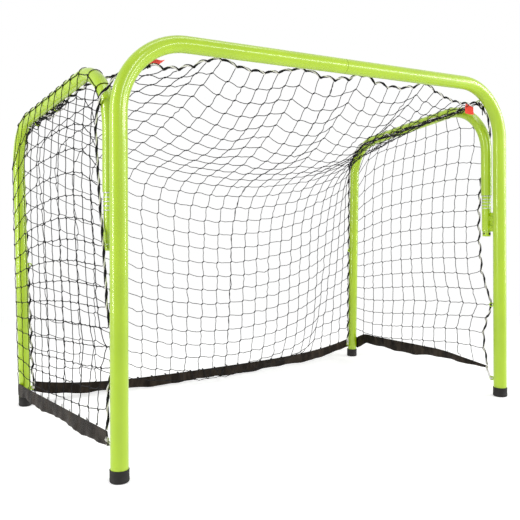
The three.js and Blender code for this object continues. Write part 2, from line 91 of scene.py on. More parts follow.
def addCamera():
    yaw = math.radians(cameraView["yaw"])
    right = Vector((math.cos(yaw), -math.sin(yaw), 0))
    ahead = Vector((math.sin(yaw), math.cos(yaw), 0))
    turn = Matrix((right, Vector((0, 0, 1)), -ahead)).transposed().to_4x4()
    roll = Matrix.Rotation(math.radians(cameraView["roll"]), 4, "Z")
    lens = bpy.data.cameras.new("camera")
    lens.sensor_width = cameraView["sensor"]
    lens.lens = cameraView["sensor"] * cameraView["focal"] / cameraView["width"]
    lens.shift_y = (cameraView["horizon"] - cameraView["width"] / 2) / cameraView["width"]
    camera = newObject("camera", lens)
    camera.matrix_world = Matrix.Translation(cameraView["place"]) @ turn @ roll
    bpy.context.scene.camera = camera


addCamera()
print("camera placed")


# selecting, editing and finishing a mesh as by hand

def deselectAll():
    if bpy.context.object and bpy.context.object.mode != "OBJECT":
        bpy.ops.object.mode_set(mode="OBJECT")
    bpy.ops.object.select_all(action="DESELECT")


def pick(*pieces):
    deselectAll()
    for piece in pieces:
        piece.select_set(True)
    bpy.context.view_layer.objects.active = pieces[0]


def startEdit(piece):
    pick(piece)
    bpy.ops.object.mode_set(mode="EDIT")
    bpy.ops.mesh.select_all(action="SELECT")


def endEdit():
    bpy.ops.object.mode_set(mode="OBJECT")


def nameNew(name):
    piece = bpy.context.object
    piece.name = name
    piece.data.name = name
    bpy.ops.object.transform_apply(location=True, rotation=True, scale=True)
    return piece


def weld(piece, outwards=True):
    startEdit(piece)
    bpy.ops.mesh.remove_doubles(threshold=1e-6)
    if outwards:
        bpy.ops.mesh.normals_make_consistent(inside=False)
    endEdit()


def smooth(piece, angle=40):
    pick(piece)
    bpy.ops.object.shade_smooth_by_angle(angle=math.radians(angle))


def applied(piece, kind, **settings):
    pick(piece)
    modifier = piece.modifiers.new(kind.lower(), kind)
    for key, value in settings.items():
        setattr(modifier, key, value)
    bpy.ops.object.modifier_apply(modifier=modifier.name)


def joined(name, *pieces):
    pick(*pieces)
    bpy.ops.object.join()
    pieces[0].name = name
    pieces[0].data.name = name
    return pieces[0]


# for each bend of a path: its start, centre, axis, angle and end
def bendParts(corners, bends):
    parts = []
    for i, bend in enumerate(bends):
        corner = Vector(corners[i + 1])
        into = (corner - Vector(corners[i])).normalized()
        out = (Vector(corners[i + 2]) - corner).normalized()
        turn = into.angle(out)
        reach = bend * math.tan(turn / 2)
        axis = into.cross(out).normalized()
        start = corner - into * reach
        parts.append((start, start + axis.cross(into) * bend, axis, turn, corner + out * reach))
    return parts


def bentLine(corners, bends, steps=10):
    line = [Vector(corners[0])]
    for start, centre, axis, turn, end in bendParts(corners, bends):
        for k in range(steps + 1):
            line.append(centre + Matrix.Rotation(turn * k / steps, 3, axis) @ (start - centre))
    line.append(Vector(corners[-1]))
    return np.array([tuple(p) for p in line])


def extrude(by):
    bpy.ops.mesh.extrude_region_move(TRANSFORM_OT_translate={"value": by})


def openCircle(name, radius, place, around):
    deselectAll()
    bpy.ops.mesh.primitive_circle_add(vertices=around, radius=radius, fill_type="NOTHING", location=place)
    return nameNew(name)


def bentTube(name, corners, bends, radius, wall, around=48, steps=14):
    tube = openCircle(name, radius, corners[0], around)
    startEdit(tube)
    here = Vector(corners[0])
    for start, centre, axis, turn, end in bendParts(corners, bends):
        extrude(start - here)
        bpy.ops.mesh.spin(steps=steps, angle=-turn, center=centre, axis=axis)
        here = end
    extrude(Vector(corners[-1]) - here)
    endEdit()
    weld(tube)
    applied(tube, "SOLIDIFY", thickness=wall, offset=-1)
    smooth(tube)
    return tube


# a profile of radius and height, turned about an upright axis
def turned(name, profile, centre, around=48, capped=True):
    radius, z = profile[0]
    piece = openCircle(name, radius, (*centre, z), around)
    startEdit(piece)
    for nextRadius, nextZ in profile[1:]:
        extrude((0, 0, nextZ - z))
        grow = nextRadius / radius
        bpy.ops.transform.resize(value=(grow, grow, 1), center_override=(*centre, nextZ))
        radius, z = nextRadius, nextZ
    bpy.ops.mesh.select_all(action="SELECT")
    if capped:
        bpy.ops.mesh.fill_holes(sides=0)
    endEdit()
    weld(piece)
    smooth(piece)
    return piece


def boxPiece(name, low, high, bevel):
    deselectAll()
    low, high = Vector(low), Vector(high)
    bpy.ops.mesh.primitive_cube_add(size=1, location=(low + high) / 2, scale=high - low)
    piece = nameNew(name)
    applied(piece, "BEVEL", width=bevel, segments=3)
    return piece


def ringPiece(name, centre, radius, thick, turn=(0, 0, 0)):
    deselectAll()
    bpy.ops.mesh.primitive_torus_add(
        major_radius=radius, minor_radius=thick, major_segments=40, minor_segments=8,
        location=centre, rotation=turn)
    return nameNew(name)


# takes the X, Y and Z axes to three directions and the origin to a place
def turnedTo(first, second, third, place):
    turn = Matrix([Vector(way).normalized() for way in (first, second, third)]).transposed().to_4x4()
    return Matrix.Translation(Vector(place)) @ turn


# a run of twine or rope along each line, as one mesh
def twineMesh(name, lines, radius, sideCount=6, widths=None):
    data = bpy.data.curves.new(name, "CURVE")
    data.dimensions = "3D"
    data.bevel_depth = radius
    data.bevel_resolution = (sideCount - 4) // 2
    data.use_fill_caps = True
    for k, line in enumerate(lines):
        spline = data.splines.new("POLY")
        spline.points.add(len(line) - 1)
        flat = np.ones((len(line), 4))
        flat[:, :3] = line
        spline.points.foreach_set("co", flat.ravel())
        if widths and widths[k]:
            spline.points.foreach_set("radius", np.array(widths[k], float))
    piece = newObject(name, data)
    pick(piece)
    bpy.ops.object.convert(target="MESH")
    weld(piece, outwards=False)
    smooth(piece, 60)
    return piece


def unit(vectors):
    return vectors / np.maximum(np.linalg.norm(vectors, axis=-1, keepdims=True), 1e-12)


def fullLength(line):
    return np.linalg.norm(np.diff(line, axis=0), axis=1).sum()


def lengthAlong(path):
    return np.concatenate([[0], np.cumsum(np.linalg.norm(np.diff(path, axis=0), axis=1))])


def pointsAlong(path, run, at):
    return np.stack([np.interp(at, run, path[:, k]) for k in range(3)], 1)


def spaced(path, count):
    path = np.asarray(path, float)
    run = lengthAlong(path)
    return pointsAlong(path, run, np.linspace(0, run[-1], count))


# a rounded line through points
def rounded(points, perSpan=6):
    p = np.asarray(points, float)
    p = np.concatenate([[2 * p[0] - p[1]], p, [2 * p[-1] - p[-2]]])
    out = []
    for i in range(1, len(p) - 2):
        a, b, c, d = p[i - 1:i + 3]
        for t in np.arange(perSpan) / perSpan:
            out.append(0.5 * (2 * b + (c - a) * t + (2 * a - 5 * b + 4 * c - d) * t ** 2
                              + (3 * b - a - 3 * c + d) * t ** 3))
    return np.array(out + [p[-2]])


# across and up directions that turn smoothly along a line
def framesAlong(line):
    tangent = unit(np.gradient(line, axis=0))
    across = np.zeros_like(line)
    start = np.array([0, 0, 1.0]) if abs(tangent[0][2]) < 0.8 else np.array([1.0, 0, 0])
    across[0] = unit(np.cross(tangent[0], start))
    for i in range(1, len(line)):
        kept = across[i - 1] - tangent[i] * np.dot(across[i - 1], tangent[i])
        across[i] = unit(kept)
    return across, np.cross(tangent, across)


# a place given by its distance from the middle, its depth behind the posts and its height
def behindPosts(side, place):
    across, depth, height = place
    return np.array([side * across, frontY + depth, height])


white, black = (1, 1, 1, 1), (0, 0, 0, 1)


# a socket, for shader maths as Python expressions
class Wire:
    def __init__(self, owner, out):
        self.owner, self.out = owner, out

    def maths(self, operation, *values):
        return self.owner.node("Math", {"operation": operation}, dict(enumerate(values)))

    def __add__(self, other):
        return self.maths("ADD", self, other)

    def __radd__(self, other):
        return self.maths("ADD", other, self)

    def __mul__(self, other):
        return self.maths("MULTIPLY", self, other)

    def __rmul__(self, other):
        return self.maths("MULTIPLY", other, self)

    def __pow__(self, other):
        return self.maths("POWER", self, other)

    def sine(self):
        return self.maths("SINE", self)

    def most(self, other):
        return self.maths("MAXIMUM", self, other)

    def least(self, other):
        return self.maths("MINIMUM", self, other)


class Nodes:
    def __init__(self, tree):
        self.tree = tree

    def put(self, socket, value):
        if isinstance(value, Wire):
            self.tree.links.new(value.out, socket)
        else:
            socket.default_value = value

    def node(self, kind, settings=None, values=None, output=0):
        made = self.tree.nodes.new("ShaderNode" + kind)
        for key, value in (settings or {}).items():
            if key == "stops":
                for element, (place, shade) in zip(made.color_ramp.elements, value):
                    element.position = place
                    element.color = shade
            else:
                setattr(made, key, value)
        for key, value in (values or {}).items():
            self.put(made.inputs[key], value)
        return Wire(self, made.outputs[output]) if made.outputs else None


class Finish(Nodes):
    def __init__(self, name):
        self.material = bpy.data.materials.new(name)
        self.material.use_nodes = True
        super().__init__(self.material.node_tree)
        self.shader = self.tree.nodes["Principled BSDF"]

    def place(self, kind="Object"):
        return self.node("TexCoord", output=kind)

    def noise(self, scale, detail, roughness=0.5, place=None):
        return self.node("TexNoise", values={
            "Vector": place or self.place(), "Scale": scale, "Detail": detail, "Roughness": roughness})

    def mix(self, share, first, second):
        return self.node("Mix", {"data_type": "RGBA"}, {0: share, 6: first, 7: second}, 2)

    def tones(self, share, look):
        return self.mix(share, colour(*look["dark"]), colour(*look["light"]))

    def rising(self, value, start, end):
        stops = [(start, black), (end, white)]
        return self.node("RGBToBW", values={0: self.node("ValToRGB", {"stops": stops}, {0: value})})

    def parts(self, vector):
        split = self.node("SeparateXYZ", values={0: vector}).out.node
        return [Wire(self, out) for out in split.outputs]

    # warp and weft from the piece's own map, which is in metres on the hems
    def weave(self, thread):
        along, up = self.parts(self.place("UV"))[:2]
        step = 2 * math.pi / thread
        return (along * step).sine() * (up * step).sine() * 0.5 + 0.5

    def bump(self, height, strength, distance):
        return self.node("Bump", values={"Height": height, "Strength": strength, "Distance": distance})

    def set(self, **values):
        for key, value in values.items():
            self.put(self.shader.inputs[key.replace("_", " ")], value)


def colour(red, green, blue):
    linear = [((c / 255 + 0.055) / 1.055) ** 2.4 if c > 10 else c / 255 / 12.92 for c in (red, green, blue)]
    return (*linear, 1)


# finishes: noise scales are cells in a metre, and thread widths are metres

paint = {
    "dark": (146, 178, 2), "light": (172, 204, 9), "cloud": 9, "grain": 60, "peel": 110,
    "roughness": 0.30, "coat": 0.5, "coatRoughness": 0.08,
}


def limePaint():
    finish = Finish("lime_paint")
    finish.set(
        Base_Color=finish.tones(finish.noise(paint["cloud"], 2), paint),
        Roughness=paint["roughness"] + 0.06 * finish.noise(paint["grain"], 2),
        Normal=finish.bump(finish.noise(paint["peel"], 1), 0.008, 0.0002),
        Coat_Weight=paint["coat"], Coat_Roughness=paint["coatRoughness"])
    return finish.material


plastic = {"dark": (22, 20, 19), "light": (48, 45, 43), "grain": 700, "scuff": 60, "specular": 0.3}


def blackPlastic():
    finish = Finish("black_plastic")
    grain = finish.noise(plastic["grain"], 3)
    scuff = finish.rising(finish.noise(plastic["scuff"], 4), 0.56, 0.72) * 0.5
    finish.set(
        Base_Color=finish.tones(scuff, plastic), Roughness=0.55 + 0.15 * grain,
        Normal=finish.bump(grain, 0.25, 0.0003), Specular_IOR_Level=plastic["specular"])
    return finish.material


steel = {"dark": (176, 178, 182), "light": (208, 210, 214), "grain": 500}


def bareSteel():
    finish = Finish("bare_steel")
    brushed = finish.noise(steel["grain"], 2)
    finish.set(
        Base_Color=finish.tones(brushed, steel), Metallic=1.0, Roughness=0.32 + 0.12 * brushed,
        Normal=finish.bump(brushed, 0.1, 0.0002))
    return finish.material


cords = {
    "black_twine": {
        "dark": (5, 5, 6), "light": (24, 24, 26), "roughness": 0.7, "turns": 200, "depth": 0.0004},
    "edge_rope": {
        "dark": (186, 182, 172), "light": (238, 236, 230), "roughness": 0.75, "turns": 260, "depth": 0.0006},
    "white_cord": {
        "dark": (196, 192, 184), "light": (240, 238, 232), "roughness": 0.75, "turns": 60, "depth": 0.0005},
}


# twisted strands, from the turn around and the run along that the cord's own map holds
def twistedCord(name):
    cord = cords[name]
    finish = Finish(name)
    around, along = finish.parts(finish.place("UV"))[:2]
    strand = ((around * 2 + along * cord["turns"]) * (2 * math.pi)).sine() * 0.5 + 0.5
    fuzz, tone = finish.noise(1400, 2), finish.noise(35, 2)
    share = (strand * 0.6 + fuzz * 0.25 + tone * 0.3).least(1.0)
    finish.set(
        Base_Color=finish.tones(share, cord), Roughness=cord["roughness"] + 0.1 * fuzz,
        Normal=finish.bump(strand + fuzz * 0.4, 0.6, cord["depth"]), Specular_IOR_Level=0.2)
    return finish.material


# the light tone is a painted sheen: it makes the hem's creases lighter and warmer
webbing = {"dark": (6, 5, 4), "light": (66, 57, 48), "thread": 0.0011, "creaseAndSheen": 40, "specular": 0.12}


def blackWebbing():
    finish = Finish("black_webbing")
    weave = finish.weave(webbing["thread"])
    slant = finish.node("Mapping", values={
        "Vector": finish.place(), "Rotation": (0, 0.9, 0), "Scale": (1, 1, 0.35)})
    creaseAndSheen = finish.noise(webbing["creaseAndSheen"], 3, 0.55, slant)
    # the creases take the light tone, a painted sheen, over the weave's own tone
    share = finish.rising(creaseAndSheen, 0.42, 0.66) * 0.5 + weave * 0.15
    finish.set(
        Base_Color=finish.tones(share, webbing), Roughness=0.42 + 0.2 * weave,
        Normal=finish.bump(weave * 0.06 + creaseAndSheen, 0.8, 0.0040),
        Specular_IOR_Level=webbing["specular"], Specular_Tint=(1, 0.86, 0.74, 1))
    return finish.material


redCloth = {"dark": (226, 34, 26), "light": (255, 92, 70), "thread": 0.0012, "tone": 90}


def redFabric():
    finish = Finish("red_fabric")
    weave = finish.weave(redCloth["thread"])
    share = finish.noise(redCloth["tone"], 3) * 0.7 + weave * 0.3
    finish.set(
        Base_Color=finish.tones(share, redCloth), Roughness=0.6 + 0.2 * weave,
        Normal=finish.bump(weave, 0.5, 0.0003))
    return finish.material


finishes = {
    "lime_paint": limePaint(), "black_plastic": blackPlastic(), "bare_steel": bareSteel(),
    "black_webbing": blackWebbing(), "red_fabric": redFabric(),
}
for name in cords:
    finishes[name] = twistedCord(name)
print("finishes made")


def dress(piece, slot):
    piece.data.materials.clear()
    piece.data.materials.append(finishes[slot])


def fitted(piece, slot, body, *nodes):
    dress(piece, slot)
    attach(piece, body)
    if nodes:
        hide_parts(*nodes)


def followFold(piece, label, *nodes):
    label + "_wing"
    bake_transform(piece)
    if nodes:
        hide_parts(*nodes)


def followCorner(piece, label, *nodes):
    label + "_wing"
    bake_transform(piece)
    if nodes:
        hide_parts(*nodes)


# tubes

post = {
    "spacing": 1.2, "barHeight": 0.919, "radius": 0.019, "wall": 0.002, "bend": 0.157,
    "foot": 0.0043, "seam": 0.0006, "around": 56, "steps": 20,
}
wing = {
    "radius": 0.016, "wall": 0.002, "bottom": 0.5975, "front": 0.8865, "rear": 0.793,
    "setback": 0.048, "depth": 0.685, "footX": 0.6085, "splay": 0.0185, "foot": 0.0049,
    "bends": (0.136, 0.126),
}
postX = post["spacing"] / 2
postRing = {"place": (0.5892, 0.0240), "upper": 0.270, "lower": 0.050}      # across, depth behind the posts
cornerRing = (0.527, 0.016, 0.866)      # across, depth behind the posts and height


def wingCorners(side):
    hinged = (side * postX, frontY + wing["setback"])
    rearTop = (side * (wing["footX"] + wing["splay"]), frontY + wing["depth"], wing["rear"])
    foot = (side * wing["footX"], frontY + wing["depth"], wing["foot"])
    return [(*hinged, wing["bottom"]), (*hinged, wing["front"]), rearTop, foot]


def addTubes():
    for label, side in sides.items():
        outer, bar = side * postX, post["barHeight"]
        corners = [(outer, frontY, post["foot"]), (outer, frontY, bar), (side * post["seam"], frontY, bar)]
        tube = bentTube("front_tube_" + label, corners, [post["bend"]], post["radius"], post["wall"],
                        post["around"], post["steps"])
        fitted(tube, "lime_paint", "front", "front_frame_" + label)
        tube = bentTube("side_tube_" + label, wingCorners(side), wing["bends"], wing["radius"], wing["wall"])
        fitted(tube, "lime_paint", label + "_wing", "side_frame_" + label)


def capProfile(outer, inner, top):
    return [
        (0.004, 0), (outer - 0.0038, 0), (outer - 0.0016, 0.0007), (outer - 0.0004, 0.0020),
        (outer, 0.0036), (outer, 0.0085), (outer - 0.0003, 0.0090), (outer - 0.0003, top - 0.0030),
        (outer, top - 0.0025), (outer, top - 0.0008), (outer - 0.0006, top),      # lip
        (inner + 0.0006, top), (inner + 0.0003, top - 0.0008), (inner + 0.0003, top - 0.006),
    ]


def addCaps():
    for kind, tubeRadius in (("front", post["radius"]), ("rear", wing["radius"])):
        for label in sides:
            node = kind + "_foot_cap_" + label
            low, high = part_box(node)
            profile = capProfile((high[0] - low[0]) / 2, tubeRadius, high[2])
            cap = turned("cap_" + kind + "_" + label, profile, middleOf(node)[:2])
            fitted(cap, "black_plastic", "front" if kind == "front" else label + "_wing", node)


addTubes()
addCaps()
print("tubes and caps made")


# a net as knots and chains of fixed length, which sink by their own weight between what holds them

class HangingNet:
    def __init__(self, knots, split):
        self.knots = knots.copy()
        self.free = np.ones((*knots.shape[:2], 1))
        self.free[0] = self.free[-1] = self.free[:, 0] = self.free[:, -1] = 0
        t = (np.arange(1, split) / split)[:, None]
        self.rows = knots[:-1, :, None] + (knots[1:, :, None] - knots[:-1, :, None]) * t
        self.columns = knots[:, :-1, None] + (knots[:, 1:, None] - knots[:, :-1, None]) * t

    def pull(self, first, second, inner, freeFirst, freeSecond, rest):
        points = [first, *np.moveaxis(inner, -2, 0), second]
        loose = [freeFirst, *[1.0] * inner.shape[-2], freeSecond]
        for i in range(len(points) - 1):
            gap = points[i + 1] - points[i]
            length = np.linalg.norm(gap, axis=-1, keepdims=True)
            share = loose[i] + loose[i + 1]
            over = np.maximum(length - rest, 0) / np.maximum(length, 1e-9) / np.maximum(share, 1e-9)
            points[i] += gap * over * loose[i]
            points[i + 1] -= gap * over * loose[i + 1]

    def settle(self, how, restAcross, restDown, keepOut):
        knots, rows, columns, free = self.knots, self.rows, self.columns, self.free
        before = [knots.copy(), rows.copy(), columns.copy()]
        for _ in range(how["steps"]):
            for now, was, loose in zip((knots, rows, columns), before, (free, 1.0, 1.0)):
                speed = (now - was) * how["damping"]
                was[...] = now
                now += speed * loose
                now[..., 2] -= how["gravity"] * (loose[..., 0] if now is knots else loose)
            for _ in range(how["sweeps"]):
                self.pull(knots[:-1], knots[1:], rows, free[:-1], free[1:], restAcross)
                self.pull(knots[:, :-1], knots[:, 1:], columns, free[:, :-1], free[:, 1:], restDown)
            for points, loose in ((knots, free), (rows, 1.0), (columns, 1.0)):
                keepOut(points, loose)


# a smooth grid of knots between four edges
def patchBetween(top, foot, start, end):
    u = np.linspace(0, 1, len(top))[:, None, None]
    v = np.linspace(0, 1, len(start))[None, :, None]
    corners = ((1 - u) * (1 - v) * top[0] + u * (1 - v) * top[-1]
               + (1 - u) * v * foot[0] + u * v * foot[-1])
    return (1 - u) * start[None] + u * end[None] + (1 - v) * top[:, None] + v * foot[:, None] - corners


twine = {
    "radius": 0.0010, "knot": 0.0019, "reach": 0.0031, "lean": 1.15, "knotEnd": 0.6,
    "wobble": 0.0011, "knotWobble": 0.6, "chainWobble": 0.5, "sag": 0.0022, "sagRange": (0.3, 1.3),
}


# strands leave a knot at its two ends: up and right from one, down and left from the other
def knotPlaces(knots, seed):
    rng = np.random.default_rng(seed)
    right = unit(np.gradient(knots, axis=0))
    up = -unit(np.gradient(knots, axis=1))
    lean = unit(right + twine["lean"] * up) * twine["reach"]
    return knots + rng.normal(0, twine["wobble"] * twine["knotWobble"], knots.shape), lean


def strand(first, last, inner, sag, rng):
    if len(inner) > 1:
        wobble = rng.normal(0, twine["wobble"] * twine["chainWobble"], inner.shape)
        return np.concatenate([[first], inner + wobble, [last]])
    span = first + (last - first) * np.array([0, 0.33, 0.67, 1])[:, None]
    span[1:-1] += rng.normal(0, twine["wobble"], (2, 3))
    span[1:-1, 2] -= sag * rng.uniform(*twine["sagRange"])
    return span


# the strands of some rows, through their knots
def rowLines(place, lean, inner, which, knots, seed, sag=0.0):
    rng = np.random.default_rng(seed)
    return [np.concatenate([
        strand(place[i, j] + lean[i, j], place[i + 1, j] - lean[i + 1, j], inner[i, j], sag, rng)
        for i in range(*knots)]) for j in which]


def columnLines(place, lean, inner, *rest):
    return rowLines(place.swapaxes(0, 1), -lean.swapaxes(0, 1), inner.swapaxes(0, 1), *rest)


def twineNet(name, strands, place, lean):
    knots = [np.array([p + share * d for share in (-1.15, -0.5, 0.5, 1.15)])
             for p, d in zip(place.reshape(-1, 3), lean.reshape(-1, 3))]
    size = twine["knot"] / twine["radius"]
    end = twine["knotEnd"] * size
    widths = [None] * len(strands) + [[end, size, size, end]] * len(knots)
    return twineMesh(name, strands + knots, twine["radius"], widths=widths)


backNet = {
    "columns": 26, "barRows": 12, "legRows": 15, "across": 0.0494, "legStep": 0.0462,
    "down": ((0, 0.0440), (9, 0.0495), (13, 0.0432), (27, 0.0432)),      # row, cell: slack is by the fold
    "hooks": (-0.355, -0.115, 0.085, 0.315), "hookKnots": (0, 4.6, 10.7, 15, 20, 26),
    "hook": (0.025, 0.9062),      # depth behind the posts and height
    "barSag": 0.026, "barSpan": 0.24,      # sag of a span of this width
    "edgeInset": 0.0235, "hemTop": 0.070, "hemSag": 0.031, "hemBow": 0.020,
    "ropeOffset": 0.0225, "behindLeg": 0.75, "bendDepth": 0.4, "barStart": 0.16, "legEnd": 0.07,
    "under": {-1: 1.33, 1: 0.45},      # how far below the wing's bar the rope hangs, by side
    "foot": (0.585, 0.683, 0.068), "floor": 0.012,
    "settle": {"steps": 1200, "quickSteps": 300, "gravity": 0.0002, "sweeps": 12, "damping": 0.85},
}
backRows = backNet["barRows"] + backNet["legRows"]
backEdge = {-1: 0, 1: -1}      # the outermost column of knots, by side


def wingLine(side, steps):
    return bentLine(wingCorners(side), wing["bends"], steps)


# the rope's line, on the inside of the wing's bar and leg
def insideWing(side, line):
    tangent = unit(np.gradient(line, axis=0))
    under = np.maximum(tangent[:, 1], 0)
    behind = np.where(line[:, 1] > frontY + backNet["bendDepth"], np.maximum(-tangent[:, 2], 0), 0)
    way = [-side * np.ones(len(line)), backNet["behindLeg"] * behind, -backNet["under"][side] * under]
    return line + unit(np.stack(way, 1)) * backNet["ropeOffset"]


def barKnots():
    across, depth, height = cornerRing
    hookDepth, hookHeight = backNet["hook"]
    xs = [-across, *backNet["hooks"], across]
    ys = [depth, *[hookDepth] * 4, depth]
    zs = [height, *[hookHeight] * 4, height]
    at = backNet["hookKnots"]
    knots = []
    for i in range(backNet["columns"] + 1):
        a = max(0, min(4, np.searchsorted(at, i, side="right") - 1))
        t = (i - at[a]) / (at[a + 1] - at[a])
        sag = backNet["barSag"] * 4 * t * (1 - t) * (xs[a + 1] - xs[a]) / backNet["barSpan"]
        knots.append([np.interp(i, at, xs), frontY + np.interp(i, at, ys), np.interp(i, at, zs) - sag])
    return np.array(knots)


def sideKnots(side):
    line = wingLine(side, 10)
    onTube = (line[:, 1] > frontY + backNet["barStart"]) & (line[:, 2] > backNet["legEnd"])
    kept = insideWing(side, line)[onTube]
    path = np.array([behindPosts(side, cornerRing), *kept, behindPosts(side, backNet["foot"])])
    run = lengthAlong(path)
    bar = run[-1] - backNet["legRows"] * backNet["legStep"]
    at = np.concatenate([np.linspace(0, bar, backNet["barRows"] + 1)[:-1],
                         np.linspace(bar, run[-1], backNet["legRows"] + 1)])
    return pointsAlong(path, run, at)


def hemKnots(count):
    u = np.linspace(-1, 1, count)
    return np.stack([
        u * (wing["footX"] - backNet["edgeInset"]),
        frontY + wing["depth"] - backNet["hemBow"] * (1 - u * u),
        backNet["hemTop"] - backNet["hemSag"] * (1 - u ** 4)], 1)


def aboveFloor(points, loose):
    points[..., 2] = np.maximum(points[..., 2], backNet["floor"])


def hangBackNet():
    grid = patchBetween(barKnots(), hemKnots(backNet["columns"] + 1), sideKnots(-1), sideKnots(1))
    net = HangingNet(grid, 1)
    at, cells = zip(*backNet["down"])
    down = np.interp(np.arange(backRows), at, cells)[None, :, None]
    net.settle(backNet["settle"], backNet["across"], down, aboveFloor)
    return net


back = hangBackNet()
print("back net hung")


def addBackNet():
    columns = backNet["columns"]
    place, lean = knotPlaces(back.knots, 11)
    middle = columns // 2
    for label, first, last in (("left", 0, middle), ("right", middle, columns)):
        below, inside = range(1, backRows), range(max(1, first), min(last + 1, columns))
        strands = rowLines(place, lean, back.rows, below, (first, last), 12 + first, twine["sag"])
        strands += columnLines(place, lean, back.columns, inside, (0, backRows), 21)
        part = slice(first, last + 1)
        net = twineNet("net_back_" + label, strands, place[part, 1:], lean[part, 1:])
        dress(net, "black_twine")
        followFold(net, label, "back_net")


addBackNet()
print("back net made")


# ropes: an off-white cord with black twine lashed along it

rope = {
    "radius": 0.0019, "lash": 0.0013, "sink": 0.4, "phases": (0, 0.95, 1.9), "perTurn": 12, "wander": 0.5,
    "drift": 0.05, "rise": 0.0075, "edgeRise": 0.0045, "bow": 0.8, "barPitch": 0.0445, "pitch": 0.0462,
}


# a strand wound round a line, with a turn that wanders a little
def wound(line, pitch, phase, seed):
    run = fullLength(line)
    count = max(4, int(run / pitch * rope["perTurn"]))
    dense = spaced(line, count)
    across, up = framesAlong(dense)
    rng = np.random.default_rng(seed)
    drifts = max(3, int(run / rope["drift"]))
    drift = np.interp(
        np.linspace(0, 1, count), np.linspace(0, 1, drifts), rng.normal(0, rope["wander"], drifts))
    angle = 2 * np.pi * np.linspace(0, run / pitch, count) + phase + drift
    radius = rope["radius"] + rope["lash"] * rope["sink"]
    return dense + radius * (across * np.cos(angle)[:, None] + up * np.sin(angle)[:, None])


def lashedRope(name, line, pitch, seed=3):
    core = twineMesh(name, [line], rope["radius"], 8)
    dress(core, "edge_rope")
    wraps = [wound(line, pitch, phase, seed) for phase in rope["phases"]]
    lash = twineMesh(name + "_lash", wraps, rope["lash"])
    dress(lash, "black_twine")
    whole = joined(name, core, lash)
    return whole


# a rope drawn in at each knot that it carries and bowed out between them
def scalloped(knots, away, rise):
    out = []
    for first, last in zip(knots[:-1], knots[1:]):
        for t in np.arange(8) / 8:
            bow = math.sin(math.pi * t) ** rope["bow"]
            out.append(first + (last - first) * t + np.array(away) * rise * bow)
    return np.array(out + [knots[-1]])


# loose strands that wind in and out along the rope on each wing's bar
bundles = {
    "bundle_": {"slot": "black_twine", "strands": 5, "reach": 0.0052, "radius": 0.0012, "seed": 51},
    "bundle_pale_": {"slot": "edge_rope", "strands": 1, "reach": 0.00572, "radius": 0.00152, "seed": 57},
}
winding = {"wave": 0.030, "step": 0.004, "from": {"left": 6, "right": 1}}


def looseStrands(line, count, reach, seed):
    rng = np.random.default_rng(seed)
    run = fullLength(line)
    dense = spaced(line, int(run / winding["step"]))
    across, up = framesAlong(dense)
    at = np.linspace(0, 1, len(dense))
    strands = []
    for _ in range(count):
        drift = rounded(rng.normal(0, reach, (max(4, int(run / winding["wave"])), 2)), 8)
        aside, above = (np.interp(at, np.linspace(0, 1, len(drift)), drift[:, k]) for k in range(2))
        strands.append(dense + across * aside[:, None] + up * above[:, None])
    return strands


def addRopes():
    bar = lashedRope("rope_bar", scalloped(back.knots[:, 0], (0, 0, 1), rope["rise"]), rope["barPitch"])
    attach(bar, "front")
    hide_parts("crossbar_rope")
    for label, side in sides.items():
        edge = back.knots[backEdge[side]]
        line = scalloped(edge, (side * 0.8, 0, 0.6), rope["edgeRise"])
        piece = lashedRope("rope_side_" + label, line, rope["pitch"])
        followFold(piece, label, "side_rope_" + label, "corner_tie_" + label)
        onBar = rounded(edge[winding["from"][label]:backNet["barRows"] + 2])
        for name, bundle in bundles.items():
            strands = looseStrands(onBar, bundle["strands"], bundle["reach"], bundle["seed"] + side)
            piece = twineMesh(name + label, strands, bundle["radius"])
            dress(piece, bundle["slot"])
            followFold(piece, label)


addRopes()
print("ropes made")


# side nets: over the wing's bar and round its rear leg to the rope inside it

sideNet = {
    "columns": 13, "rows": 17, "across": 0.0462, "down": 0.0445, "split": 4,
    "frontTop": {"left": 0.056, "right": 0.100},
    "edge": {      # height, then depth behind the posts, of the free front edge
        "left": (
            (0.07, 0.022), (0.27, 0.016), (0.38, 0.024), (0.48, 0.040), (0.58, 0.059), (0.69, 0.075),
            (0.80, 0.086)),
        "right": (
            (0.07, 0.062), (0.12, 0.077), (0.18, 0.081), (0.27, 0.060), (0.37, 0.088), (0.49, 0.098),
            (0.58, 0.096), (0.67, 0.086), (0.72, 0.066), (0.77, 0.048), (0.80, 0.053)),
    },
    "pinReach": 0.07, "pinCurve": 1.5, "clear": 0.0035, "lay": 0.0013, "keepOff": 0.0012, "turnPoints": 7,
    "hemTops": {      # share of the way from the front to the leg, then height
        "left": ((0, 0.105), (1, 0.068)), "right": ((0, 0.079), (0.30, 0.097), (0.55, 0.094), (1, 0.088)),
    },
    "drops": (0.10, 0.30),      # how much lower the leg and the rope inside it hold the rows
    "intoHem": 0.006,
    "corner": (cornerRing, (0.560, 0.030, 0.862), (0.592, 0.040, 0.840), (0.608, 0.044, 0.816)),
    "turnOut": {"left": ((0.6215, 0.050, 0.795),), "right": ()},
    "settle": {"steps": 260, "quickSteps": 80, "gravity": 0.00012, "sweeps": 6, "damping": 0.8},
}


def outerX(y, z):
    share = (y - frontY - wing["setback"]) / (wing["depth"] - wing["setback"])
    lean = wing["footX"] - postX + wing["splay"] * z / wing["rear"]
    return postX + share * lean + wing["radius"] + sideNet["clear"]


# the free front edge at a height, drawn in to the ring on the post
def freeEdge(label, side, z):
    y = frontY + np.interp(z, *zip(*sideNet["edge"][label]))
    place = np.array([side * outerX(y, z), y, z])
    drawn = max(0, 1 - abs(z - postRing["upper"]) / sideNet["pinReach"]) ** sideNet["pinCurve"]
    return place + (behindPosts(side, (*postRing["place"], z)) - place) * drawn


